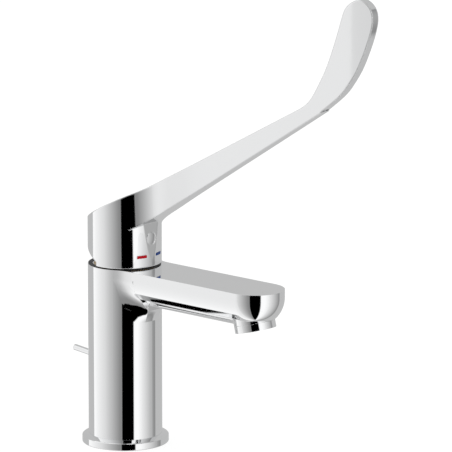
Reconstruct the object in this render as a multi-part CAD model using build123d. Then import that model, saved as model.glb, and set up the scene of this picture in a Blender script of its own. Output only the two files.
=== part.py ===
from build123d import *
import math
import os

# Elbow lever basin tap. Millimetres, +Z up, the spout and the lever point along +X.
# The origin is on the column's axis, on the plane of the basin that the tap stands on.

os.makedirs("parts", exist_ok=True)

# Clearances
overrun = 2.0
seat_gap = 0.05
running_gap = 0.06
moving_gap = 0.35

# Column, whose rim lies in the plane of the spout's top
body_radius = 23.0
body_top = 114.0
spigot_inset = 5.0

# Base ring and gasket
ring_overhang = 4.0
ring_play = 0.4
ring_height = 5.9
ring_edge_height = 4.6
ring_chamfer = 0.4
gasket_inset = 2.0
gasket_width = 5.0
gasket_thickness = 1.8

# Spout
spout_half_width = 18.0
spout_reach = 108.5
spout_side_height = 5.0
spout_lip_drop = 13.7
spout_lip_slant_height = 3.8
spout_lip_slant_width = 3.1
spout_recess_depth = 12.5
belly_radius = 8.5
belly_drop = 15.7
bracket_front_outset = 2.5
bracket_drop = 26.0
bracket_flat_half = 11.0
bracket_side_run = 6.8
bracket_side_rise = 3.3
flare_depth = 8.0
root_bite = 0.02
flare_bite = 0.1

# Root of the spout, as level sections from the bracket's bottom to the spout's edge: share of
# that height, share of a right angle where the wall leaves the column, share of the spout's
# half width, share of the bracket's reach, share of a right angle by which the wall's front
# end leans, and shares of the wall's run over which its two ends keep their directions
root_section_shares = (
    (0.0, 0.522, 0.35, 1.0, 0.50, 0.34, 0.34),
    (0.143, 0.567, 0.48, 0.990, 0.42, 0.34, 0.34),
    (0.300, 0.614, 0.617, 0.975, 0.28, 0.35, 0.38),
    (0.448, 0.644, 0.750, 0.955, 0.11, 0.35, 0.42),
    (0.586, 0.667, 0.874, 0.938, 0.02, 0.33, 0.47),
    (0.714, 0.690, 0.942, 0.928, 0.0, 0.32, 0.52),
    (0.857, 0.728, 0.985, 0.925, 0.0, 0.30, 0.56),
    (1.0, 0.750, 0.9995, 0.925, 0.0, 0.30, 0.58),
)

# Waterways inside the column and the spout
inlet_x = 3.2
inlet_y = 7.4
inlet_radius = 2.8
hose_socket_radius = 4.5
hose_socket_depth = 12.0
outlet_x = -5.5
outlet_radius = 2.8
passage_radius = 1.7
passage_drop = 5.5
passage_turn_inset = 3.7
riser_top_outset = 0.6
waterway_radius = 4.0
stud_x = 12.0
stud_radius = 3.4
stud_depth = 16.0

# Cartridge housing, its cavity and its nut
housing_body_wall = 5.5
housing_step = 2.7
housing_wall = 3.3
housing_neck_wall = 1.9
housing_neck_height = 9.0
housing_roof = 2.0
housing_mouth_inset = 2.9
cavity_play = 0.2
nut_thread_depth = 1.6
nut_thread_length = 6.5
nut_shoulder_drop = 2.4
nut_rim_drop = 0.2
nut_crown_height = 4.4
nut_crown_wall = 1.5
nut_flat_count = 8

# Cartridge base, seals and ceramic discs
base_flange_height = 2.0
base_height = 9.1
base_play = 0.1
port_radius = 2.4
port_y = 6.0
outlet_port_x = -4.6
outlet_port_radius = 3.0
seal_seat_radius = 4.3
seal_seat_depth = 1.6
seal_section = 1.4
side_seal_section = 1.0
disc_play = 0.2
disc_thickness = 3.4
disc_film = 0.04
slider_clearance = 0.57
moving_disc_thickness = 3.2
window_place_share = -0.28
window_half_width = 8.2
window_half_length = 5.0
window_depth = 1.6

# Disc carrier, stem and its pivot
pivot_rise = 5.4
stem_arm = 16.0
stem_lean = 12.0
ball_radius = 2.9
ball_neck_radius = 2.1
ball_floor_gap = 0.8
stem_hub_radius = 4.4
stem_half_width = 4.0
stem_square = 8.0
stem_above_screw = 13.0
pin_radius = 1.5
pin_end_inset = 0.62
carrier_floor = 1.0
carrier_height = 3.9
carrier_flat = 8.6
collar_radius = 5.6
collar_height = 3.2

# Turret that turns in the housing
turret_neck_play = 0.08
turret_flange_height = 2.3
turret_slot_play = 0.25
turret_window_half = 7.2
turret_eye_radius = 5.0
turret_cheek_drop = 4.4
rail_outer = 11.0
rail_play = 0.1
rail_lift = 0.8

# Temperature limiter ring
limiter_width = 2.3
limiter_play = 0.3
limiter_height = 2.0

# Cap of the lever
cap_gap = 1.0
cap_wall = 2.6
cap_roof = 4.2
relief_start = -3.0
relief_step = 2.6
relief_angle = 27.6
facet_angle = 2.4
facet_rise = 4.7
facet_height = 25.0
screw_rise = 17.5
screw_radius = 3.0
screw_length = 8.0
screw_key_radius = 1.5
screw_key_depth = 3.0
screw_key_count = 6
plug_radius = 3.75
plug_depth = 2.6
plug_dome = 0.35
adapter_wall = 0.9
boss_wall = 2.0
boss_clearance = 1.4
web_half_width = 5.6
web_below = 5.2
web_above = 6.0

# Glide ring between the column's rim and the cap
glide_inset = 0.4
glide_width = 2.6
glide_height = 0.35

# Hot and cold marks
mark_rise = 6.8
mark_tall = 1.6
mark_angle = 18.8
mark_arc_angle = 16.6
mark_depth = 0.4
mark_proud = 0.04

# Arm of the lever
cap_height_at_axis = 37.2
arm_top_angle = 28.15
arm_depth_at_axis = 23.8
arm_bottom_angle = 31.95
arm_root_angle = 42.0
arm_root_fillet = 24.0
arm_start = 8.0
elbow_top_x = 142.0
elbow_bottom_x = 158.0
paddle_run = 60.6
paddle_rise = 73.6

# Points round the paddle, as shares of its run and rise from the elbow's top edge
paddle_shares = (
    (0.178, 0.092),
    (0.315, 0.250),
    (0.404, 0.382),
    (0.4785, 0.524),
    (0.551, 0.685),
    (0.607, 0.823),
    (0.658, 0.917),
    (0.731, 0.970),
    (0.825, 1.0),
    (0.914, 0.978),
    (0.972, 0.935),
    (1.0, 0.867),
    (0.9935, 0.799),
    (0.942, 0.662),
    (0.861, 0.508),
    (0.7805, 0.386),
    (0.698, 0.291),
    (0.548, 0.160),
    (0.355, 0.033),
)

# Half thickness of the arm along the lever: share of the reach, share of the root's
# half thickness
arm_width_shares = ((0.26, 0.83), (0.345, 0.72), (0.57, 0.60), (0.79, 0.46), (1.02, 0.35))

# Aerator, in a frame tilted about the spout's end
aerator_tilt = 14.0
aerator_outset = 0.5
aerator_drop = 25.5
aerator_radius = 12.7
aerator_skirt = 4.5
aerator_thread_inset = 1.1
aerator_wall = 1.0
aerator_neck_height = 6.5
aerator_lip_width = 1.2
aerator_lip = 1.0
aerator_boss_height = 6.0
insert_play = 0.15
insert_height = 6.6
insert_hole_radius = 0.95
insert_ring_shares = (0.0, 0.30, 0.58, 0.86)
insert_hole_count = 6
screen_thickness = 0.5
washer_width = 3.6
washer_thickness = 1.5

# Lift rod of the pop-up waste
rod_radius = 1.9
rod_inset = 10.0
rod_outset = 20.2
rod_end_height = 52.9
rod_rise_angle = 5.6
rod_bend = 7.0
rod_bottom = 1.0
rod_travel = 20.0
rod_bore_play = 0.7
rod_slot_play = 0.5
slot_wall_inset = 4.0
slot_margin = 1.2
guide_wall = 1.64
guide_height = 27.0

# Radii that follow from the sizes above
spigot_radius = body_radius - spigot_inset
ring_radius = body_radius + ring_overhang
ring_bore = spigot_radius + ring_play
gasket_outer = ring_radius - gasket_inset
gasket_inner = gasket_outer - gasket_width
housing_radius = body_radius - housing_body_wall
housing_upper_radius = housing_radius - housing_step
housing_inner = housing_radius - housing_wall
housing_neck_inner = housing_upper_radius - housing_neck_wall
housing_mouth = housing_neck_inner - housing_mouth_inset
cavity_radius = housing_radius + cavity_play
nut_radius = cavity_radius + nut_thread_depth
nut_bore = housing_upper_radius + cavity_play
nut_crown_radius = nut_bore + nut_crown_wall
cap_radius = body_radius
cap_bore = cap_radius - cap_wall
half_travel = stem_arm * math.sin(math.radians(stem_lean))
slider_radius = housing_inner - half_travel - slider_clearance
turret_neck_radius = housing_mouth - turret_neck_play
turret_flange_radius = housing_neck_inner - limiter_play
pin_half_length = turret_neck_radius - pin_end_inset
rail_half_length = math.sqrt((housing_neck_inner - moving_gap) ** 2 - rail_outer**2)
socket_half = stem_square / 2 + seat_gap + adapter_wall + seat_gap
boss_half = socket_half + boss_wall
aerator_neck_radius = aerator_radius - aerator_thread_inset
aerator_bore = aerator_neck_radius - aerator_wall
insert_radius = aerator_bore - insert_play

# Places along X
bracket_front = body_radius + bracket_front_outset
aerator_x = spout_reach + aerator_outset
passage_turn_x = body_radius - passage_turn_inset
riser_top_x = body_radius + riser_top_outset
rod_x = rod_inset - body_radius
slot_wall_x = slot_wall_inset - body_radius
rod_end_x = -body_radius - rod_outset
lever_reach = elbow_top_x + paddle_run

# Heights, from the column's rim up and down
spout_edge_z = body_top - spout_side_height
spout_lip_z = body_top - spout_lip_drop
belly_z = body_top - belly_drop
bracket_z = body_top - bracket_drop
aerator_bottom = body_top - aerator_drop
nut_bottom = body_top - nut_thread_length
nut_shoulder = body_top - nut_shoulder_drop
nut_rim = body_top - nut_rim_drop
housing_top = nut_shoulder + housing_neck_height
flange_top = housing_top - housing_roof - seat_gap
flange_low = flange_top - turret_flange_height
pivot_height = housing_top + pivot_rise
ball_height = pivot_height - stem_arm * math.cos(math.radians(stem_lean))
carrier_bottom = pivot_height - stem_arm - ball_radius - ball_floor_gap - carrier_floor
moving_disc_low = carrier_bottom - disc_film - moving_disc_thickness
fixed_disc_top = moving_disc_low - disc_film
base_top = fixed_disc_top - disc_thickness
seat_height = base_top - base_height
cap_bottom = body_top + cap_gap
facet_start = cap_bottom + facet_rise
mark_height = cap_bottom + mark_rise
screw_height = cap_bottom + screw_rise
stem_top = screw_height + stem_above_screw
boss_bottom = pivot_height + turret_eye_radius + boss_clearance
arm_top_at_axis = cap_bottom + cap_height_at_axis
arm_bottom_at_axis = arm_top_at_axis - arm_depth_at_axis
elbow_height = arm_top_at_axis + math.tan(math.radians(arm_top_angle)) * elbow_top_x
lever_top = elbow_height + paddle_rise
guide_top = rod_bottom + guide_height


def column(radius, low, high, x=0.0, y=0.0):
    """Upright cylinder between two heights."""
    shape = Cylinder(radius, high - low, align=(Align.CENTER, Align.CENTER, Align.MIN))
    return Pos(x, y, low) * shape


def block(x_range, y_range, z_range):
    """Box between three pairs of limits."""
    size = [high - low for low, high in (x_range, y_range, z_range)]
    shape = Box(*size, align=(Align.MIN, Align.MIN, Align.MIN))
    return Pos(x_range[0], y_range[0], z_range[0]) * shape


def side_prism(points, half_width):
    """Prism across Y from an outline in X and Z."""
    outline = [(x, 0, z) for x, z in points]
    face = make_face(Polyline(*outline, close=True))
    return extrude(face, amount=half_width, dir=(0, 1, 0), both=True)


def rod_between(start, end, radius):
    """Cylinder from one point to another."""
    run = Vector(*end) - Vector(*start)
    plane = Plane(origin=start, z_dir=run)
    return plane * Cylinder(radius, run.length, align=(Align.CENTER, Align.CENTER, Align.MIN))


def bore_along(points, radius):
    """Round passage along straight runs, with a ball at each turn."""
    shape = rod_between(points[0], points[1], radius)
    for start, end in zip(points[1:-1], points[2:]):
        shape += rod_between(start, end, radius)
        shape += Pos(*start) * Sphere(radius)
    return shape


def height_on(at_axis, angle, x):
    """Height at x of a sloping line that crosses the axis at a given height."""
    return at_axis + math.tan(math.radians(angle)) * x


def in_aerator_frame(shape):
    """Moves a shape from the aerator's own frame to its tilted place."""
    return Pos(aerator_x, 0, aerator_bottom) * Rot(0, -aerator_tilt, 0) * shape


def spout_section():
    """Closed outline of the spout across Y and Z: flat top, rounded sides, lips and belly."""
    half = spout_half_width
    lip_y = math.sqrt(half**2 - (spout_edge_z - spout_lip_z) ** 2)
    turn = math.radians(90) - math.acos(lip_y / half)
    middle = (math.radians(90) - turn) / 2
    inner_y = lip_y - spout_lip_slant_width
    inner_z = spout_lip_z - spout_lip_slant_height
    recess_z = body_top - spout_recess_depth
    arc_middle = (half * math.cos(middle), spout_edge_z - half * math.sin(middle))

    def side(sign):
        top = (0, sign * half, body_top)
        edge = (0, sign * half, spout_edge_z)
        bend = (0, sign * arc_middle[0], arc_middle[1])
        lip = (0, sign * lip_y, spout_lip_z)
        slant = (0, sign * inner_y, inner_z)
        roof = (0, sign * inner_y, recess_z)
        belly_top = (0, sign * belly_radius, recess_z)
        belly_side = (0, sign * belly_radius, belly_z)
        return [
            Line(top, edge),
            ThreePointArc(edge, bend, lip),
            Polyline(lip, slant, roof, belly_top, belly_side),
        ]

    lines = side(1) + side(-1)
    lines.append(Line((0, -half, body_top), (0, half, body_top)))
    belly_low = (0, 0, belly_z - belly_radius)
    lines.append(ThreePointArc((0, belly_radius, belly_z), belly_low, (0, -belly_radius, belly_z)))
    return make_face(lines)


def spout_nose():
    """Rounded end of the spout: a short upright wall over part of a ball."""
    ball = Pos(spout_reach, 0, spout_edge_z) * Sphere(spout_half_width)
    floor_z = spout_lip_z - spout_lip_slant_height
    keep = column(spout_half_width, floor_z, spout_edge_z, x=spout_reach)
    wall = column(spout_half_width, spout_edge_z, body_top, x=spout_reach)
    return (ball & keep) + wall


def root_wall(angle, end_x, half_width, lean, lead_in, lead_out):
    """Level curve that leaves the column smoothly and runs to the spout's near side."""
    start = (body_radius - root_bite) * Vector(math.cos(angle), -math.sin(angle))
    end = Vector(end_x, -half_width)
    run = (end - start).length
    first = start + lead_in * run * Vector(math.sin(angle), math.cos(angle))
    last = end - lead_out * run * Vector(math.cos(lean), math.sin(lean))
    return [start, first, last, end]


def level_section(points, z):
    """Level face between a wall curve, its mirror image and the front and back lines."""
    near = [(point.X, point.Y, z) for point in points]
    far = [(point.X, -point.Y, z) for point in points]
    lines = [Bezier(*near), Line(near[-1], far[-1]), Bezier(*reversed(far)), Line(far[0], near[0])]
    return make_face(lines)


def root_section(shares):
    """Wall curve and height of one level section of the spout's root."""
    height_share, angle_share, width_share, reach_share, lean_share, lead_in, lead_out = shares
    z = bracket_z + height_share * (spout_edge_z - bracket_z)
    angle = angle_share * math.radians(90)
    lean = lean_share * math.radians(90)
    end_x = reach_share * bracket_front
    return root_wall(angle, end_x, width_share * spout_half_width, lean, lead_in, lead_out), z


def spout_root():
    """Root of the spout: walls from the column to the spout's sides, drawn in to a bracket below."""
    sections = [level_section(*root_section(shares)) for shares in root_section_shares]
    shape = loft(sections) - bracket_arch()
    return shape + extrude(sections[-1], amount=spout_side_height, dir=(0, 0, 1))


def bracket_arch():
    """Space under the bracket's sides, which rise in an arc from its flat middle."""
    arch_radius = (bracket_side_run**2 + bracket_side_rise**2) / (2 * bracket_side_rise)
    arch_z = bracket_z + arch_radius
    far_x = bracket_front + overrun
    shapes = []
    for side in (1, -1):
        y = side * bracket_flat_half
        edge = side * (body_radius + overrun)
        space = block((0, far_x), (min(y, edge), max(y, edge)), (bracket_z, bracket_z + bracket_side_rise))
        shapes.append(space - rod_between((0, y, arch_z), (far_x, y, arch_z), arch_radius))
    return shapes[0] + shapes[1]


def flare():
    """Flare between the column and the bracket's bottom, under the arch of its sides."""
    wall, z = root_section(root_section_shares[0])
    start = math.atan2(-wall[0].Y, wall[0].X)
    corner = math.atan2(-wall[-1].Y, wall[-1].X)
    radius = body_radius - flare_bite
    low = z - flare_depth
    middle = (start + corner) / 2

    def on_column(angle):
        return (radius * math.cos(angle), -radius * math.sin(angle), low)

    near = ThreePointArc(on_column(start), on_column(middle), on_column(corner))
    front = ThreePointArc(on_column(corner), on_column(0), on_column(-corner))
    far = ThreePointArc(on_column(-corner), on_column(-middle), on_column(-start))
    foot = make_face([near, front, far, Line(on_column(-start), on_column(start))])
    top = level_section(wall, z)
    shape = loft([foot, top], ruled=True)
    return shape + extrude(top, amount=bracket_side_rise, dir=(0, 0, 1))


def rod_slot():
    """Room in the column for the lift rod: its bore, its bend and the slot at the back."""
    rod_z = rod_height_at(-body_radius)
    top = rod_z + rod_travel + rod_radius + slot_margin
    bore_top = rod_height_at(rod_x) + rod_travel + rod_radius + slot_margin
    bend_bottom = rod_height_at(rod_x) - rod_bend - rod_radius
    rod_bore = rod_radius + rod_bore_play
    slot_half_width = rod_radius + rod_slot_play
    guide_radius = rod_radius + running_gap + guide_wall
    bore = column(rod_bore, -overrun, bore_top, x=rod_x)
    pocket = block(
        (slot_wall_x, rod_x),
        (-rod_bore, rod_bore),
        (bend_bottom, bore_top),
    )
    slot = block(
        (-body_radius - overrun, slot_wall_x + seat_gap),
        (-slot_half_width, slot_half_width),
        (rod_z - rod_radius - slot_margin, top),
    )
    guide_seat = column(guide_radius + seat_gap, -overrun, guide_top, x=rod_x)
    return bore + pocket + slot + guide_seat


def rod_height_at(x):
    """Height of the axis of the rod's outer run at x."""
    return rod_end_height + math.tan(math.radians(rod_rise_angle)) * (rod_end_x - x)


def waterways():
    """Hose sockets, inlets, the mixed water's passage and the spout's bore."""
    shape = column(stud_radius, -overrun, stud_depth, x=stud_x)
    for side in (1, -1):
        shape += column(hose_socket_radius, -overrun, hose_socket_depth, x=inlet_x, y=side * inlet_y)
        shape += column(inlet_radius, 0, seat_height + overrun, x=inlet_x, y=side * inlet_y)
    passage_z = seat_height - passage_drop
    shape += bore_along(
        [
            (outlet_x, 0, seat_height + overrun),
            (outlet_x, 0, passage_z),
            (passage_turn_x, 0, passage_z),
            (riser_top_x, 0, belly_z),
        ],
        passage_radius,
    )
    shape += column(outlet_radius, passage_z, seat_height + overrun, x=outlet_x)
    shape += Pos(riser_top_x, 0, belly_z) * Sphere(waterway_radius)
    shape += rod_between((riser_top_x, 0, belly_z), (aerator_x, 0, belly_z), waterway_radius)
    return shape


def mixer_body():
    """Cast column with its spout, cartridge cavity, waterways and aerator boss."""
    shape = column(spigot_radius, 0, ring_height + seat_gap)
    shape += column(body_radius, ring_height, body_top)
    shape += extrude(spout_section(), amount=spout_reach, dir=(1, 0, 0))
    shape += spout_nose()
    shape += spout_root()
    shape += flare()
    cavity_top = aerator_skirt + aerator_neck_height + washer_thickness + 2 * seat_gap
    boss = column(aerator_radius, aerator_skirt + seat_gap, cavity_top + aerator_boss_height)
    shape += in_aerator_frame(boss)
    shape -= block(
        (-body_radius, spout_reach + body_radius + spout_half_width),
        (-body_radius, body_radius),
        (body_top, body_top + body_radius),
    )
    shape -= column(cavity_radius, seat_height, body_top + overrun)
    shape -= column(nut_radius + seat_gap, nut_bottom, body_top + overrun)
    shape -= waterways()
    shape -= in_aerator_frame(column(aerator_radius + seat_gap, -overrun, aerator_skirt + seat_gap))
    shape -= in_aerator_frame(column(aerator_neck_radius + seat_gap, 0, cavity_top))
    shape -= rod_slot()
    return shape


def base_ring():
    """Ring under the column, with a sloping top and a recess for the gasket."""
    points = [
        (ring_bore, 0),
        (gasket_inner, 0),
        (gasket_inner, gasket_thickness),
        (gasket_outer, gasket_thickness),
        (gasket_outer, 0),
        (ring_radius - ring_chamfer, 0),
        (ring_radius, ring_chamfer),
        (ring_radius, ring_edge_height - ring_chamfer),
        (ring_radius - ring_chamfer, ring_edge_height),
        (body_radius, ring_height),
        (ring_bore, ring_height),
    ]
    return turned(points)


def turned(points):
    """Solid turned about the upright axis from an outline of radii and heights."""
    face = make_face(Polyline(*[(r, 0, z) for r, z in points], close=True))
    return revolve(face, axis=Axis.Z)


def tube(outer, inner, low, high):
    """Upright ring between two heights."""
    return turned([(inner, low), (outer, low), (outer, high), (inner, high)])


def cartridge_nut():
    """Nut screwed into the column's rim, which holds the cartridge down by its shoulder."""
    skirt = tube(nut_radius, housing_radius + seat_gap, nut_bottom, nut_shoulder + seat_gap)
    flange = tube(nut_radius, nut_bore, nut_shoulder, nut_rim)
    outline = RegularPolygon(nut_crown_radius, nut_flat_count, major_radius=False)
    crown = extrude(Pos(0, 0, nut_rim) * outline, amount=nut_crown_height)
    return skirt + flange + (crown - column(nut_bore, nut_rim - overrun, nut_rim + nut_crown_height + overrun))


def glide_ring():
    """Thin plastic ring on the column's rim, under the lever's cap."""
    outer = body_radius - glide_inset
    return tube(outer, outer - glide_width, body_top, body_top + glide_height)


def cartridge_housing():
    """Plastic shell of the cartridge."""
    shape = column(housing_radius, seat_height + base_flange_height + seat_gap, nut_shoulder)
    shape += column(housing_upper_radius, nut_shoulder, housing_top)
    shape -= column(housing_inner, seat_height, nut_shoulder - housing_roof)
    shape -= column(housing_neck_inner, seat_height, housing_top - housing_roof)
    shape -= column(housing_mouth, seat_height, housing_top + overrun)
    return shape


def cartridge_base():
    """Plastic base of the cartridge, with its ports and the seats of their seals."""
    shape = column(housing_radius, seat_height + seat_gap, seat_height + base_flange_height)
    shape += column(housing_inner - base_play, seat_height + base_flange_height, base_top)
    for y in (inlet_y, -inlet_y):
        shape -= column(seal_seat_radius, seat_height, seat_height + seal_seat_depth, x=inlet_x, y=y)
        port_place = math.copysign(port_y, y)
        shape -= column(port_radius, seat_height, base_top + overrun, x=inlet_x, y=port_place)
    shape -= column(seal_seat_radius, seat_height, seat_height + seal_seat_depth, x=outlet_x)
    shape -= column(outlet_radius, seat_height, base_top + overrun, x=outlet_port_x)
    shape -= side_seal(seat_gap)
    return shape


def seal_ring(radius, section, x, y, height):
    """Rubber ring with a round section."""
    return Pos(x, y, height) * Torus(radius, section / 2)


def port_seals():
    """Three rubber rings under the base, one round each port."""
    height = seat_height + seat_gap + seal_section / 2
    radius = seal_seat_radius - seal_section / 2 - seat_gap
    places = ((inlet_x, inlet_y), (inlet_x, -inlet_y), (outlet_x, 0))
    return Compound(children=[seal_ring(radius, seal_section, x, y, height) for x, y in places])


def side_seal(grow=0.0):
    """Rubber ring in the groove round the base."""
    radius = housing_radius - side_seal_section / 2
    height = seat_height + base_flange_height / 2
    return seal_ring(radius, side_seal_section + 2 * grow, 0, 0, height)


def fixed_disc():
    """Ceramic disc that stays with the base, with two inlets and an outlet."""
    shape = column(housing_inner - disc_play, base_top + disc_film, fixed_disc_top)
    for y in (port_y, -port_y):
        shape -= column(port_radius, base_top - overrun, carrier_bottom, x=inlet_x, y=y)
    return shape - column(outlet_port_radius, base_top - overrun, carrier_bottom, x=outlet_port_x)


def moving_disc():
    """Ceramic disc that slides over the fixed one, with the mixing chamber in its face."""
    low = moving_disc_low
    shape = column(slider_radius, low, low + moving_disc_thickness, x=-half_travel)
    centre_x = window_place_share * slider_radius - half_travel
    window = block(
        (centre_x - window_half_length, centre_x + window_half_length),
        (-window_half_width, window_half_width),
        (low - overrun, low + window_depth),
    )
    return shape - (window & column(slider_radius - overrun, low - overrun, low + window_depth, x=-half_travel))


def disc_carrier():
    """Carrier of the moving disc, with flats that the turret's rails drive."""
    top = carrier_bottom + carrier_height
    shape = column(slider_radius, carrier_bottom, top, x=-half_travel)
    flats = block(
        (-half_travel - slider_radius, slider_radius - half_travel),
        (-carrier_flat, carrier_flat),
        (carrier_bottom, top),
    )
    shape = (shape & flats) + column(collar_radius, top - overrun, top + collar_height, x=-half_travel)
    socket_top = top + collar_height + overrun
    return shape - column(ball_radius + moving_gap, carrier_bottom + carrier_floor, socket_top, x=-half_travel)


def turret():
    """Carrier that turns with the lever: flange, rails, neck and the pin's two eyes."""
    cheek_top = pivot_height - turret_cheek_drop
    slot_half = stem_half_width + turret_slot_play
    shape = column(turret_flange_radius, flange_low, flange_top)
    shape += column(turret_neck_radius, flange_low, cheek_top)
    eye = pin_run(turret_eye_radius, turret_neck_radius)
    post = block(
        (-turret_eye_radius, turret_eye_radius),
        (-turret_neck_radius, turret_neck_radius),
        (cheek_top - overrun, pivot_height),
    )
    shape += (eye + post) & column(turret_neck_radius, flange_low, pivot_height + turret_eye_radius)
    for side in (1, -1):
        inner = side * (carrier_flat + rail_play)
        outer = side * rail_outer
        limits = (min(inner, outer), max(inner, outer))
        shape += block(
            (-rail_half_length, rail_half_length),
            limits,
            (carrier_bottom + rail_lift, flange_low + seat_gap),
        )
    shape -= block(
        (-turret_window_half, turret_window_half),
        (-slot_half, slot_half),
        (flange_low - overrun, flange_top + overrun),
    )
    shape -= block(
        (-body_radius, body_radius),
        (-slot_half, slot_half),
        (flange_top + overrun, pivot_height + body_radius),
    )
    return shape - pin_run(pin_radius + seat_gap / 2, body_radius)


def pin_run(radius, half):
    """Round run along the pivot's axis, across Y."""
    return rod_between((0, -half, pivot_height), (0, half, pivot_height), radius)


def stem():
    """Stem: square head for the lever, hub on the pin, and an arm with a ball end."""
    head = block(
        (-stem_square / 2, stem_square / 2),
        (-stem_half_width, stem_half_width),
        (pivot_height, stem_top),
    )
    hub = pin_run(stem_hub_radius, stem_half_width)
    ball_at = (-half_travel, 0, ball_height)
    arm = rod_between((0, 0, pivot_height), ball_at, ball_neck_radius)
    shape = head + hub + arm + Pos(*ball_at) * Sphere(ball_radius)
    return shape - pin_run(pin_radius + running_gap, body_radius)


def temperature_limiter():
    """Ring on the housing's roof that can be set to stop the turret early."""
    low = housing_top + seat_gap
    limiter_inner = housing_mouth + limiter_play
    limiter_outer = limiter_inner + limiter_width
    shape = tube(limiter_outer, limiter_inner, low, low + limiter_height)
    stop = block(
        (-limiter_outer, -limiter_inner + seat_gap),
        (-limiter_height / 2, limiter_height / 2),
        (low + limiter_height - seat_gap, low + limiter_height + limiter_height / 2),
    )
    return shape + stop


def paddle_points():
    """Points round the paddle, from the elbow's top edge to its bottom edge."""
    return [
        (elbow_top_x + share_x * paddle_run, 0, elbow_height + share_z * paddle_rise)
        for share_x, share_z in paddle_shares
    ]


def arm_side():
    """Lever's arm and paddle as seen from the side, as a thick prism."""
    top_start = (arm_start, 0, height_on(arm_top_at_axis, arm_top_angle, arm_start))
    top_end = (elbow_top_x, 0, height_on(arm_top_at_axis, arm_top_angle, elbow_top_x))
    low_start = (arm_start, 0, height_on(arm_bottom_at_axis, arm_bottom_angle, arm_start))
    low_end = (elbow_bottom_x, 0, height_on(arm_bottom_at_axis, arm_bottom_angle, elbow_bottom_x))
    up = math.radians(arm_top_angle)
    back = math.radians(arm_bottom_angle)
    edge = Spline(
        top_end,
        *paddle_points(),
        low_end,
        tangents=[(math.cos(up), 0, math.sin(up)), (-math.cos(back), 0, -math.sin(back))],
    )
    lines = [Line(top_start, top_end), edge, Line(low_end, low_start), Line(low_start, top_start)]
    return extrude(make_face(lines), amount=cap_radius, dir=(0, 1, 0), both=True)


def arm_plan():
    """Lever's arm as seen from above: hollow corners at the cap, then a slow taper."""
    angle = math.radians(arm_root_angle)
    centre = cap_radius + arm_root_fillet
    centre_x = centre * math.cos(angle)
    centre_y = centre * math.sin(angle)
    root_half = centre_y - arm_root_fillet
    turn = (angle + math.radians(90)) / 2
    low_z = cap_bottom

    def edge(sign):
        start = (cap_radius * math.cos(angle), sign * cap_radius * math.sin(angle))
        middle = (
            centre_x - arm_root_fillet * math.cos(turn),
            sign * (centre_y - arm_root_fillet * math.sin(turn)),
        )
        root = (centre_x, sign * root_half)
        rest = [(share_x * lever_reach, sign * share_y * root_half) for share_x, share_y in arm_width_shares]
        taper = (rest[-1][0] - rest[-2][0], rest[-1][1] - rest[-2][1])
        return start, ThreePointArc(start, middle, root), Spline(root, *rest, tangents=[(1, 0), taper]), rest[-1]

    start_a, arc_a, side_a, end_a = edge(1)
    start_b, arc_b, side_b, end_b = edge(-1)
    lines = [arc_a, side_a, Line(end_a, end_b), side_b, arc_b, Polyline(start_b, (0, 0), start_a)]
    face = Pos(0, 0, low_z) * make_face(lines)
    return extrude(face, amount=lever_top + overrun - low_z)


def under_slope(at_axis, angle, half_width):
    """Space under a sloping plane, out to the cap's radius."""
    far = cap_radius + overrun
    points = [
        (-far, cap_bottom - overrun),
        (far, cap_bottom - overrun),
        (far, height_on(at_axis, angle, far)),
        (-far, height_on(at_axis, angle, -far)),
    ]
    return side_prism(points, half_width)


def cap_shell():
    """Outside of the cap: a cylinder with a sloping top, the front facet and the rear relief."""
    shape = column(cap_radius, cap_bottom, lever_top)
    shape = shape & under_slope(arm_top_at_axis, arm_top_angle, cap_radius + overrun)
    facet_top = facet_start + facet_height
    depth = facet_height * math.tan(math.radians(facet_angle))
    shape -= side_prism(
        [
            (cap_radius, facet_start),
            (cap_radius + overrun, facet_start),
            (cap_radius + overrun, facet_top),
            (cap_radius - depth, facet_top),
        ],
        cap_radius,
    )
    return shape


def rear_relief():
    """Cut that lets the cap's back dip towards the column as the lever is lifted."""
    far = cap_radius + overrun
    step_z = cap_bottom + relief_step
    far_z = step_z + math.tan(math.radians(relief_angle)) * (far + relief_start)
    points = [
        (relief_start, cap_bottom - overrun),
        (relief_start, step_z),
        (-far, far_z),
        (-far, cap_bottom - overrun),
    ]
    return side_prism(points, far)


def cap_inside():
    """Hollow of the cap, less the boss round the stem and the web for the grub screw."""
    hollow = column(cap_bore, cap_bottom - overrun, lever_top)
    hollow = hollow & under_slope(arm_top_at_axis - cap_roof, arm_top_angle, cap_radius)
    hollow -= block((-boss_half, boss_half), (-boss_half, boss_half), (boss_bottom, lever_top))
    return hollow - block(
        (turret_eye_radius + moving_gap, cap_radius),
        (-web_half_width, web_half_width),
        (screw_height - web_below, screw_height + web_above),
    )


def screw_bore():
    """Holes of the grub screw and of the plug in front of it."""
    face_x = plug_face_x()
    screw = rod_between((0, 0, screw_height), (cap_radius, 0, screw_height), screw_radius + seat_gap)
    plug = rod_between(
        (face_x - plug_depth, 0, screw_height),
        (cap_radius + overrun, 0, screw_height),
        plug_radius + seat_gap,
    )
    return screw + plug


def plug_face_x():
    """Place of the facet at the screw's height."""
    return cap_radius - (screw_height - facet_start) * math.tan(math.radians(facet_angle))


def mark_shape(side, grow=0.0):
    """Inlaid bar round the cap, on the hot side or the cold side."""
    span = mark_arc_angle + 2 * math.degrees(grow / cap_radius)
    inner = cap_radius - mark_depth - grow
    outer = cap_radius + mark_proud
    low = mark_height - mark_tall / 2 - grow
    high = mark_height + mark_tall / 2 + grow
    points = [(inner, 0, low), (outer, 0, low), (outer, 0, high), (inner, 0, high)]
    bar = revolve(make_face(Polyline(*points, close=True)), axis=Axis.Z, revolution_arc=span)
    return Rot(0, 0, side * mark_angle - span / 2) * bar


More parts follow.
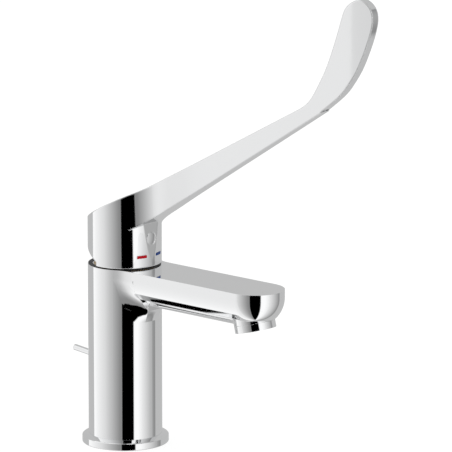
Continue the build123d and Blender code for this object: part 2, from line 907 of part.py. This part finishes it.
def lever():
    """Cast lever: cap, arm and paddle in one piece."""
    shape = cap_shell() + (arm_side() & arm_plan())
    shape -= cap_inside()
    shape -= rear_relief()
    shape -= block((-socket_half, socket_half), (-socket_half, socket_half), (cap_bottom, stem_top + seat_gap))
    shape -= screw_bore()
    shape -= mark_shape(1, seat_gap)
    return shape - mark_shape(-1, seat_gap)


def stem_adapter():
    """Plastic sleeve between the stem's square head and the lever's socket."""
    outer = socket_half - seat_gap
    inner = stem_square / 2 + seat_gap
    shape = block((-outer, outer), (-outer, outer), (boss_bottom + seat_gap, stem_top))
    shape -= block((-inner, inner), (-inner, inner), (boss_bottom - overrun, stem_top + overrun))
    return shape - rod_between((0, 0, screw_height), (outer + overrun, 0, screw_height), screw_radius + seat_gap)


def grub_screw():
    """Grub screw that clamps the lever to the stem, with its key socket facing out."""
    start = stem_square / 2 + seat_gap
    end = start + screw_length
    shape = rod_between((start, 0, screw_height), (end, 0, screw_height), screw_radius)
    plane = Plane(origin=(end - screw_key_depth, 0, screw_height), z_dir=(1, 0, 0))
    key = extrude(plane * RegularPolygon(screw_key_radius, screw_key_count), amount=screw_key_depth + overrun)
    return shape - key


def screw_plug():
    """Plug that hides the grub screw, flush with the facet, with a faint dome."""
    face_x = plug_face_x()
    back = face_x - plug_depth + seat_gap
    crown = (plug_radius**2 + plug_dome**2) / (2 * plug_dome)
    disc = rod_between((back, 0, screw_height), (face_x + plug_dome, 0, screw_height), plug_radius)
    return disc & (Pos(face_x + plug_dome - crown, 0, screw_height) * Sphere(crown))


def aerator_housing():
    """Screwed ring that holds the aerator in the spout."""
    shape = tube(aerator_radius, aerator_bore, 0, aerator_skirt)
    neck_top = aerator_skirt + aerator_neck_height
    shape += tube(aerator_neck_radius, aerator_bore, aerator_skirt - seat_gap, neck_top)
    shape += tube(aerator_bore + seat_gap, aerator_bore - aerator_lip_width, 0, aerator_lip)
    return in_aerator_frame(shape)


def aerator_insert():
    """Plastic stream former with rings of small holes."""
    low = aerator_lip + seat_gap
    shape = column(insert_radius, low, low + insert_height)
    for ring, share in enumerate(insert_ring_shares):
        count = max(1, ring * insert_hole_count)
        for index in range(count):
            angle = 2 * math.pi * index / count
            place = share * insert_radius
            x = place * math.cos(angle)
            y = place * math.sin(angle)
            shape -= column(insert_hole_radius, 0, low + insert_height + overrun, x=x, y=y)
    return in_aerator_frame(shape)


def aerator_screen():
    """Fine strainer over the stream former."""
    low = aerator_lip + insert_height + 2 * seat_gap
    return in_aerator_frame(column(insert_radius, low, low + screen_thickness))


def aerator_washer():
    """Rubber washer between the aerator and the spout."""
    low = aerator_skirt + aerator_neck_height + seat_gap
    inner = aerator_neck_radius - washer_width
    return in_aerator_frame(tube(aerator_neck_radius, inner, low, low + washer_thickness))


def lift_rod():
    """Lift rod of the waste: an upright run in the column, a bend and the end at the back."""
    corner = (rod_x, 0, rod_height_at(rod_x))
    end = (rod_end_x, 0, rod_end_height)
    path = FilletPolyline((rod_x, 0, rod_bottom), corner, end, radius=rod_bend)
    section = Plane(origin=(rod_x, 0, rod_bottom), z_dir=(0, 0, 1)) * Circle(rod_radius)
    return sweep(section, path=path)


def rod_guide():
    """Plastic bush that guides the lift rod at the foot of the column."""
    inner = rod_radius + running_gap
    return Pos(rod_x, 0, 0) * tube(inner + guide_wall, inner, rod_bottom, guide_top - seat_gap)


pieces = {
    "mixer_body": mixer_body(),
    "base_ring": base_ring(),
    "base_gasket": tube(gasket_outer - seat_gap, gasket_inner + seat_gap, 0, gasket_thickness),
    "cartridge_nut": cartridge_nut(),
    "glide_ring": glide_ring(),
    "cartridge_housing": cartridge_housing(),
    "cartridge_base": cartridge_base(),
    "port_seals": port_seals(),
    "cartridge_o_ring": side_seal(),
    "fixed_disc": fixed_disc(),
    "moving_disc": moving_disc(),
    "disc_carrier": disc_carrier(),
    "turret": turret(),
    "stem_pin": pin_run(pin_radius, pin_half_length),
    "stem": stem(),
    "temperature_limiter": temperature_limiter(),
    "lever": lever(),
    "stem_adapter": stem_adapter(),
    "grub_screw": grub_screw(),
    "screw_plug": screw_plug(),
    "hot_mark": mark_shape(-1),
    "cold_mark": mark_shape(1),
    "aerator_housing": aerator_housing(),
    "aerator_insert": aerator_insert(),
    "aerator_screen": aerator_screen(),
    "aerator_washer": aerator_washer(),
    "lift_rod": lift_rod(),
    "rod_guide": rod_guide(),
}

for name, shape in pieces.items():
    export_step(shape, f"parts/{name}.step")
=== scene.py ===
import math

import bpy
import numpy as np
from bpy.props import FloatProperty, FloatVectorProperty, PointerProperty
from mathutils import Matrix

bl_info = {
    "name": "Elbow Lever Tap",
    "version": (1, 0, 0),
    "blender": (4, 5, 0),
    "location": "View3D > Sidebar > Elbow Tap",
    "description": "Finishes and studio of a basin tap with an elbow lever",
    "category": "Object",
}

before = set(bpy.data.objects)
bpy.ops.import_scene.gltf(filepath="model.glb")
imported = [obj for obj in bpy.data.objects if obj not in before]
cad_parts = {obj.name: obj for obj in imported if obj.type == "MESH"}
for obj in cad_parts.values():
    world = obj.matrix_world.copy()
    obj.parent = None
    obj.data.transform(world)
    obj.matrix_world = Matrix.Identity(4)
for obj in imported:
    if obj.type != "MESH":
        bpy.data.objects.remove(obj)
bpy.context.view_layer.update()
IMAGE_PIXELS = 452
SENSOR_MM = 36.0

# Edge roundings of the plated pieces, in metres
PLATED_EDGES = {
    "mixer_body": 0.0004,
    "base_ring": 0.0004,
    "lever": 0.0012,
    "screw_plug": 0.0002,
    "aerator_housing": 0.0003,
    "lift_rod": 0.0006,
}

# Finishes of the fittings, by material: colour setting, kind of pattern, its size and the
# depth of its relief in metres, share of the colour left in its dark parts, sharpest and
# widest blur, and how metallic
FITTING_FINISHES = {
    "cartridge_plastic": ("plastic", "grain", 0.0006, 0.00001, 0.86, (0.38, 0.5), 0.0),
    "limiter_plastic": ("limiter", "grain", 0.0006, 0.00001, 0.8, (0.35, 0.5), 0.0),
    # The glide ring's near-black is partly its own plastic and partly painted shade of the gap under
    # the cap
    "glide_plastic": ("glide", "grain", 0.0005, 0.00001, 0.7, (0.4, 0.55), 0.0),
    "ceramic": ("ceramic", "speckle", 0.0004, 0.000003, 0.9, (0.12, 0.2), 0.0),
    "turned_brass": ("brass", "turned", 0.0005, 0.000012, 0.75, (0.22, 0.36), 1.0),
    "turned_steel": ("steel", "grain", 0.0004, 0.000008, 0.8, (0.2, 0.32), 1.0),
    "seal_rubber": ("rubber", "grain", 0.0003, 0.000015, 0.6, (0.55, 0.75), 0.0),
    "stream_plastic": ("stream", "grain", 0.0005, 0.00001, 0.8, (0.35, 0.5), 0.0),
    "woven_steel": ("steel", "weave", 0.0005, 0.00008, 0.3, (0.3, 0.45), 1.0),
}

# Scales of the clouding in the finishes, per metre
PLATING_CLOUD = 85.0
ENAMEL_CLOUD = 900.0
FITTING_CLOUD = 110.0

BEVEL_SAMPLES = 6
# Share of the enamel's colour in its dark clouds, and the depth of its relief in metres
ENAMEL_DARK = 0.88
ENAMEL_RELIEF = 0.00001
# How far a fitting's pattern and clouding together go from the dark tone to the pale one
TONE_SPAN = 1.8
# Scale of a wave pattern whose rings or wires have a size of one
WAVE_SCALE = 0.3
# White of the floor in the light that it throws back
FLOOR_BOUNCE = 0.8
# Corners along the near screen's edge
SCREEN_POINTS = 65
# How far the camera sees, in metres
VIEW_DISTANCE = 100

# Levels of the studio's light, as shares of full white
WHITE = 1.0
PALE = 0.85
SOFT = 0.7
GREY = 0.5
DIM = 0.25
BLACK = 0.0

# The studio as the tap mirrors it: degrees round from the camera's side, to the picture's
# right, and the level there. Two white panels fade to dim, and the rest is grey.
ROOM_STOPS = (
    (-180, GREY), (-115, GREY), (-114, WHITE), (-62, SOFT), (-15, DIM), (8, DIM), (10, WHITE),
    (40, WHITE), (53, PALE), (107, DIM), (111, GREY), (180, GREY))

# The same on the near screen, whose middle is black
SCREEN_STOPS = (
    (-62, SOFT), (-15, DIM), (-9, DIM), (-8.5, BLACK), (26.5, BLACK), (27, WHITE), (40, WHITE),
    (53, PALE))


def colour(name, note, value):
    """Colour setting."""
    return FloatVectorProperty(
        name=name, description=note, subtype="COLOR", size=3, min=0.0, max=1.0, default=value)


def share(name, note, value):
    """Setting between nought and one."""
    return FloatProperty(name=name, description=note, subtype="FACTOR", min=0.0, max=1.0, default=value)


def length(name, note, value):
    """Setting in metres."""
    return FloatProperty(
        name=name, description=note, subtype="DISTANCE", unit="LENGTH", min=0.0, precision=6,
        default=value)


def turn(name, note, degrees):
    """Setting that is an angle."""
    return FloatProperty(
        name=name, description=note, subtype="ANGLE", unit="ROTATION", default=math.radians(degrees))


class TAP_PlatingSettings(bpy.types.PropertyGroup):
    tint: colour("Tint", "Colour that the plating gives to what it mirrors", (0.90, 0.905, 0.91))
    gloss_low: share("Sharpest Blur", "Roughness where the plating is polished best", 0.02)
    gloss_high: share("Widest Blur", "Roughness where the plating is a little dull", 0.05)
    wave_length: length("Wave Length", "Size of the faint waves that polishing leaves", 0.012)
    wave_depth: length("Wave Depth", "Depth of the faint waves that polishing leaves", 0.000002)


class TAP_MarkSettings(bpy.types.PropertyGroup):
    red: colour("Hot Enamel", "Colour of the bar on the hot side", (0.74, 0.004, 0.018))
    blue: colour("Cold Enamel", "Colour of the bar on the cold side", (0.004, 0.06, 0.31))
    gloss: share("Gloss Blur", "Roughness of the enamel's surface", 0.35)


class TAP_FittingSettings(bpy.types.PropertyGroup):
    plastic: colour("Cartridge Plastic", "Colour of the cartridge's moulded pieces", (0.70, 0.70, 0.67))
    limiter: colour("Limiter Plastic", "Colour of the temperature limiter", (0.50, 0.06, 0.04))
    # Near-black of the glide ring: partly its plastic, partly painted shade that darkens the gap under
    # the cap
    glide: colour("Glide Plastic", "Colour of the ring on the column's rim", (0.006, 0.006, 0.007))
    stream: colour("Stream Former Plastic", "Colour of the aerator's insert", (0.26, 0.27, 0.28))
    rubber: colour("Rubber", "Colour of the seals and the gasket", (0.022, 0.022, 0.023))
    brass: colour("Brass", "Colour of the turned brass", (0.62, 0.44, 0.19))
    steel: colour("Steel", "Colour of the stainless pieces", (0.48, 0.48, 0.47))
    ceramic: colour("Ceramic", "Colour of the ground discs", (0.78, 0.76, 0.71))


class TAP_StageSettings(bpy.types.PropertyGroup):
    camera_place: FloatVectorProperty(
        name="Camera Place", description="Where the camera stands",
        subtype="TRANSLATION", unit="LENGTH", size=3, default=(2.0733, -2.2054, 0.8029))
    camera_azimuth: turn("Camera Azimuth", "Turn of the view from straight along +Y", 42.0429)
    camera_slope: turn("Camera Slope", "Downward slope of the view", 12.4077)
    focal_pixels: FloatProperty(
        name="Focal Length in Pixels", description="Distance of the picture plane in pixels",
        min=1.0, default=5000.0)
    room_level: FloatProperty(
        name="Room Level", description="Strength of the room's light", min=0.0, default=1.08)
    screen_distance: length(
        "Screen Distance", "Distance of the near screen from the column's axis", 0.46)
    screen_low: FloatProperty(
        name="Screen Bottom", description="Height of the near screen's lower edge",
        subtype="DISTANCE", unit="LENGTH", default=-6.0)
    screen_high: length("Screen Top", "Height of the near screen's upper edge", 1.5)
    floor_size: length("Floor Size", "Half width of the floor", 6.0)
    floor_glow: share("Floor Glow", "Part of the floor's white that doesn't depend on shadow", 0.80)
    floor_white: share("Floor White", "Paint of the floor, which takes the shadow", 0.40)


def new_material(name):
    """Empty node material and its node tree."""
    material = bpy.data.materials.new(name)
    material.use_nodes = True
    material.node_tree.nodes.clear()
    return material, material.node_tree


def add_node(tree, kind, inputs=None, **values):
    """Adds a node, sets its named attributes, then links or sets its named inputs."""
    node = tree.nodes.new(kind)
    for key, value in values.items():
        setattr(node, key, value)
    for key, value in (inputs or {}).items():
        if isinstance(value, bpy.types.NodeSocket):
            tree.links.new(value, node.inputs[key])
        else:
            node.inputs[key].default_value = value
    return node


def spread(tree, factor, low, high):
    """Numbers from low to high as a pattern's value goes from nought to one."""
    node = add_node(tree, "ShaderNodeMapRange", {"Value": factor, "To Min": low, "To Max": high})
    return node.outputs["Result"]


def close(tree, shader):
    """Output node of a surface."""
    output = add_node(tree, "ShaderNodeOutputMaterial")
    tree.links.new(shader.outputs[0], output.inputs["Surface"])


def plating_material(name, settings, edge):
    """Polished chrome: sharp mirror with cloudy gloss, faint polishing waves and rounded edges."""
    material, tree = new_material(name)
    place = add_node(tree, "ShaderNodeTexCoord").outputs["Object"]
    cloud = add_node(tree, "ShaderNodeTexNoise", {
        "Vector": place, "Scale": PLATING_CLOUD, "Detail": 4.0, "Roughness": 0.6})
    wave = add_node(tree, "ShaderNodeTexNoise", {
        "Vector": place, "Scale": 1 / settings.wave_length, "Detail": 1.0, "Roughness": 0.4})
    rounded = add_node(tree, "ShaderNodeBevel", {"Radius": edge}, samples=BEVEL_SAMPLES)
    bump = add_node(tree, "ShaderNodeBump", {
        "Height": wave.outputs[0], "Distance": settings.wave_depth, "Strength": 1.0,
        "Normal": rounded.outputs[0]})
    shader = add_node(tree, "ShaderNodeBsdfPrincipled", {
        "Base Color": (*settings.tint, 1.0),
        "Metallic": 1.0,
        "Roughness": spread(tree, cloud.outputs[0], settings.gloss_low, settings.gloss_high),
        "Normal": bump.outputs[0]})
    close(tree, shader)
    return material


def enamel_material(name, tone, settings):
    """Glossy enamel with a slightly uneven surface and faint clouding of its colour."""
    material, tree = new_material(name)
    place = add_node(tree, "ShaderNodeTexCoord").outputs["Object"]
    cloud = add_node(tree, "ShaderNodeTexNoise", {
        "Vector": place, "Scale": ENAMEL_CLOUD, "Detail": 3.0})
    dark = tuple(ENAMEL_DARK * value for value in tone)
    mix = add_node(tree, "ShaderNodeMix", data_type="RGBA")
    tree.links.new(cloud.outputs[0], mix.inputs[0])
    mix.inputs[6].default_value = (*dark, 1.0)
    mix.inputs[7].default_value = (*tone, 1.0)
    bump = add_node(tree, "ShaderNodeBump", {
        "Height": cloud.outputs[0], "Distance": ENAMEL_RELIEF, "Strength": 0.5})
    shader = add_node(tree, "ShaderNodeBsdfPrincipled", {
        "Base Color": mix.outputs[2], "Roughness": settings.gloss, "Specular IOR Level": 0.2,
        "Normal": bump.outputs[0]})
    close(tree, shader)
    return material


def pattern(tree, kind, size):
    """Fine pattern of a finish, from nought to one, on the object's own coordinates.

    grain is cloudy noise; turned is rings round the upright axis, broken by noise; weave is
    the product of two bands of wires; speckle is the distance to the nearest of many points.
    """
    place = add_node(tree, "ShaderNodeTexCoord").outputs["Object"]
    noise = add_node(tree, "ShaderNodeTexNoise", {"Vector": place, "Scale": 1 / size, "Detail": 5.0})
    if kind == "grain":
        return noise.outputs[0]
    if kind == "speckle":
        points = add_node(tree, "ShaderNodeTexVoronoi", {"Vector": place, "Scale": 1 / size})
        return points.outputs["Distance"]
    if kind == "turned":
        rings = add_node(tree, "ShaderNodeTexWave", {
            "Vector": place, "Scale": WAVE_SCALE / size, "Distortion": 1.5, "Detail": 2.0},
            wave_type="RINGS", rings_direction="Z")
        return rings.outputs["Fac"]
    wires = [
        add_node(
            tree, "ShaderNodeTexWave", {"Vector": place, "Scale": WAVE_SCALE / size},
            wave_type="BANDS", bands_direction=direction).outputs["Fac"]
        for direction in ("X", "Y")]
    woven = add_node(tree, "ShaderNodeMath", {0: wires[0], 1: wires[1]}, operation="MULTIPLY")
    return woven.outputs[0]


def fitting_material(name, settings):
    """Finish of a fitting: two tones of one colour, an uneven gloss and a fine relief."""
    setting, kind, size, depth, shade, gloss, metal = FITTING_FINISHES[name]
    tone = getattr(settings, setting)
    material, tree = new_material(name)
    fine = pattern(tree, kind, size)
    place = add_node(tree, "ShaderNodeTexCoord").outputs["Object"]
    cloud = add_node(tree, "ShaderNodeTexNoise", {
        "Vector": place, "Scale": FITTING_CLOUD, "Detail": 3.0})
    both = add_node(tree, "ShaderNodeMath", {0: fine, 1: cloud.outputs[0]}, operation="MULTIPLY")
    mix = add_node(tree, "ShaderNodeMix", data_type="RGBA")
    tree.links.new(spread(tree, both.outputs[0], 0.0, TONE_SPAN), mix.inputs[0])
    mix.inputs[6].default_value = (*(shade * value for value in tone), 1.0)
    mix.inputs[7].default_value = (*tone, 1.0)
    bump = add_node(tree, "ShaderNodeBump", {"Height": fine, "Distance": depth, "Strength": 1.0})
    shader = add_node(tree, "ShaderNodeBsdfPrincipled", {
        "Base Color": mix.outputs[2], "Metallic": metal,
        "Roughness": spread(tree, cloud.outputs[0], *gloss), "Normal": bump.outputs[0]})
    close(tree, shader)
    return material


def light_by_azimuth(tree, place, start, stops):
    """Brightness of a point or direction by its turn round the upright axis from a start."""
    split = add_node(tree, "ShaderNodeSeparateXYZ", {0: place})
    angle = add_node(
        tree, "ShaderNodeMath", {0: split.outputs["Y"], 1: split.outputs["X"]}, operation="ARCTAN2")
    offset = add_node(tree, "ShaderNodeMath", {0: angle.outputs[0], 1: start}, operation="SUBTRACT")
    turns = add_node(tree, "ShaderNodeMath", {0: offset.outputs[0], 1: 2 * math.pi}, operation="DIVIDE")
    half = add_node(tree, "ShaderNodeMath", {0: turns.outputs[0], 1: 0.5}, operation="ADD")
    wrap = add_node(tree, "ShaderNodeMath", {0: half.outputs[0]}, operation="FRACT")
    ramp = add_node(tree, "ShaderNodeValToRGB", {0: wrap.outputs[0]})
    positions = [(degrees + 180) / 360 for degrees, level in stops]
    elements = ramp.color_ramp.elements
    for position in positions[1:-1]:
        elements.new(position)
    for element, position, (degrees, level) in zip(elements, positions, stops):
        element.position = position
        element.color = (level, level, level, 1)
    return ramp.outputs[0]


def paint(material, *nodes):
    """Gives CAD nodes one material."""
    for node in nodes:
        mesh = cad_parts[node].data
        mesh.materials.clear()
        mesh.materials.append(material)


class TAP_OT_plating(bpy.types.Operator):
    """Polished chrome of the body, ring, lever, plug, aerator ring and rod"""
    bl_idname = "tap.plating"
    bl_label = "Chrome Plating"

    def execute(self, context):
        for node, edge in PLATED_EDGES.items():
            paint(plating_material(f"chrome_{node}", context.scene.tap_plating, edge), node)
        return {"FINISHED"}


class TAP_OT_marks(bpy.types.Operator):
    """Red and blue enamel of the hot and cold bars"""
    bl_idname = "tap.marks"
    bl_label = "Hot and Cold Marks"

    def execute(self, context):
        settings = context.scene.tap_marks
        paint(enamel_material("red_enamel", tuple(settings.red), settings), "hot_mark")
        paint(enamel_material("blue_enamel", tuple(settings.blue), settings), "cold_mark")
        return {"FINISHED"}


class TAP_OT_cartridge(bpy.types.Operator):
    """Plastics and ceramic of the cartridge, the bush and the glide ring, whose near-black is partly
    painted shade of the gap under the cap
    """
    bl_idname = "tap.cartridge"
    bl_label = "Cartridge Finishes"

    def execute(self, context):
        settings = context.scene.tap_fittings
        paint(
            fitting_material("cartridge_plastic", settings), "cartridge_housing", "cartridge_base",
            "disc_carrier", "turret", "stem_adapter", "rod_guide")
        paint(fitting_material("limiter_plastic", settings), "temperature_limiter")
        # The glide ring is painted near-black: partly its plastic, partly painted shade of the gap
        # under the cap
        paint(fitting_material("glide_plastic", settings), "glide_ring")
        paint(fitting_material("ceramic", settings), "fixed_disc", "moving_disc")
        return {"FINISHED"}


class TAP_OT_metal(bpy.types.Operator):
    """Turned brass of the nut and stem, and steel of the pin and grub screw"""
    bl_idname = "tap.metal"
    bl_label = "Brass and Steel"

    def execute(self, context):
        settings = context.scene.tap_fittings
        paint(fitting_material("turned_brass", settings), "cartridge_nut", "stem")
        paint(fitting_material("turned_steel", settings), "stem_pin", "grub_screw")
        return {"FINISHED"}


class TAP_OT_seals(bpy.types.Operator):
    """Rubber of the gasket, the washer and the seals"""
    bl_idname = "tap.seals"
    bl_label = "Rubber Seals"

    def execute(self, context):
        rubber = fitting_material("seal_rubber", context.scene.tap_fittings)
        paint(rubber, "base_gasket", "port_seals", "cartridge_o_ring", "aerator_washer")
        return {"FINISHED"}


class TAP_OT_aerator(bpy.types.Operator):
    """Stream former and woven strainer of the aerator"""
    bl_idname = "tap.aerator"
    bl_label = "Aerator Insides"

    def execute(self, context):
        settings = context.scene.tap_fittings
        paint(fitting_material("stream_plastic", settings), "aerator_insert")
        paint(fitting_material("woven_steel", settings), "aerator_screen")
        return {"FINISHED"}


class TAP_OT_stage(bpy.types.Operator):
    """Floor, room light, near screen and camera"""
    bl_idname = "tap.stage"
    bl_label = "Studio"

    def execute(self, context):
        settings = context.scene.tap_stage
        self.floor(context, settings)
        self.screen(context, settings)
        self.room(context, settings)
        self.camera(context, settings)
        return {"FINISHED"}

    def add(self, context, name, corners, faces, material):
        """Adds a mesh to the scene as a piece of the stage."""
        mesh = bpy.data.meshes.new(name)
        mesh.from_pydata(corners, [], faces)
        mesh.materials.append(material)
        item = bpy.data.objects.new(name, mesh)
        context.scene.collection.objects.link(item)
        return item

    def floor(self, context, settings):
        """Square floor whose paint takes the shadow over a steady white glow."""
        material, tree = new_material("floor_white")
        white = settings.floor_white
        coat = add_node(tree, "ShaderNodeBsdfDiffuse", {"Color": (white, white, white, 1)})
        glow = add_node(tree, "ShaderNodeEmission", {
            "Color": (1, 1, 1, 1), "Strength": settings.floor_glow})
        both = add_node(tree, "ShaderNodeAddShader", {0: coat.outputs[0], 1: glow.outputs[0]})
        plain = add_node(tree, "ShaderNodeBsdfDiffuse", {
            "Color": (FLOOR_BOUNCE, FLOOR_BOUNCE, FLOOR_BOUNCE, 1)})
        path = add_node(tree, "ShaderNodeLightPath")
        mix = add_node(tree, "ShaderNodeMixShader", {
            0: path.outputs["Is Camera Ray"], 1: plain.outputs[0], 2: both.outputs[0]})
        close(tree, mix)
        size = settings.floor_size
        corners = [(-size, -size, 0), (size, -size, 0), (size, size, 0), (-size, size, 0)]
        floor = self.add(context, "floor", corners, [(0, 1, 2, 3)], material)
        floor.visible_glossy = False

    def screen(self, context, settings):
        """Near screen, black in the middle: part of an upright cylinder, seen only in the chrome."""
        start = settings.camera_azimuth - math.pi / 2
        material, tree = new_material("screen")
        place = add_node(tree, "ShaderNodeTexCoord").outputs["Object"]
        light = light_by_azimuth(tree, place, start, SCREEN_STOPS)
        glow = add_node(tree, "ShaderNodeEmission", {"Color": light, "Strength": settings.room_level})
        close(tree, glow)
        degrees = np.linspace(SCREEN_STOPS[0][0], SCREEN_STOPS[-1][0], SCREEN_POINTS)
        angles = start + np.radians(degrees)
        ring = settings.screen_distance * np.stack([np.cos(angles), np.sin(angles)], axis=1)
        low = np.column_stack([ring, np.full(len(ring), settings.screen_low)])
        high = np.column_stack([ring, np.full(len(ring), settings.screen_high)])
        index = np.arange(len(ring) - 1)
        faces = np.stack([index, index + 1, index + 1 + len(ring), index + len(ring)], axis=1)
        screen = self.add(context, "screen", np.vstack([low, high]).tolist(), faces.tolist(), material)
        screen.visible_camera = False
        screen.visible_diffuse = False
        screen.visible_shadow = False
        screen.visible_transmission = False

    def room(self, context, settings):
        """Room light by direction round the upright axis, and plain white behind the tap."""
        world = bpy.data.worlds.new("studio")
        context.scene.world = world
        world.use_nodes = True
        tree = world.node_tree
        tree.nodes.clear()
        place = add_node(tree, "ShaderNodeTexCoord").outputs["Generated"]
        light = light_by_azimuth(tree, place, settings.camera_azimuth - math.pi / 2, ROOM_STOPS)
        room = add_node(tree, "ShaderNodeBackground", {"Color": light, "Strength": settings.room_level})
        white = add_node(tree, "ShaderNodeBackground", {"Color": (1, 1, 1, 1)})
        path = add_node(tree, "ShaderNodeLightPath")
        mix = add_node(tree, "ShaderNodeMixShader", {
            0: path.outputs["Is Camera Ray"], 1: room.outputs[0], 2: white.outputs[0]})
        output = add_node(tree, "ShaderNodeOutputWorld")
        tree.links.new(mix.outputs[0], output.inputs[0])

    def camera(self, context, settings):
        """Camera with a long lens, level to the sides and sloping down."""
        data = bpy.data.cameras.new("camera")
        data.sensor_width = SENSOR_MM
        data.lens = settings.focal_pixels / IMAGE_PIXELS * SENSOR_MM
        data.clip_end = VIEW_DISTANCE
        camera = bpy.data.objects.new("camera", data)
        context.scene.collection.objects.link(camera)
        camera.location = settings.camera_place
        camera.rotation_euler = (math.pi / 2 - settings.camera_slope, 0, settings.camera_azimuth)
        context.scene.camera = camera
        context.scene.view_settings.view_transform = "Standard"


class TAP_PT_panel(bpy.types.Panel):
    """Steps of the tap, in order"""
    bl_label = "Elbow Lever Tap"
    bl_idname = "TAP_PT_panel"
    bl_space_type = "VIEW_3D"
    bl_region_type = "UI"
    bl_category = "Elbow Tap"

    def draw(self, context):
        for name in STEPS:
            self.layout.operator(f"tap.{name}")


STEPS = ("plating", "marks", "cartridge", "metal", "seals", "aerator", "stage")
SETTINGS = {
    "tap_plating": TAP_PlatingSettings,
    "tap_marks": TAP_MarkSettings,
    "tap_fittings": TAP_FittingSettings,
    "tap_stage": TAP_StageSettings,
}
OPERATORS = (
    TAP_OT_plating, TAP_OT_marks, TAP_OT_cartridge, TAP_OT_metal, TAP_OT_seals, TAP_OT_aerator,
    TAP_OT_stage)
CLASSES = (*SETTINGS.values(), *OPERATORS, TAP_PT_panel)


def register():
    for item in CLASSES:
        bpy.utils.register_class(item)
    for name, group in SETTINGS.items():
        setattr(bpy.types.Scene, name, PointerProperty(type=group))


def unregister():
    for name in SETTINGS:
        delattr(bpy.types.Scene, name)
    for item in reversed(CLASSES):
        bpy.utils.unregister_class(item)


def main():
    """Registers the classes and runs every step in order."""
    register()
    for name in STEPS:
        getattr(bpy.ops.tap, name)()


if __name__ == "__main__":
    main()
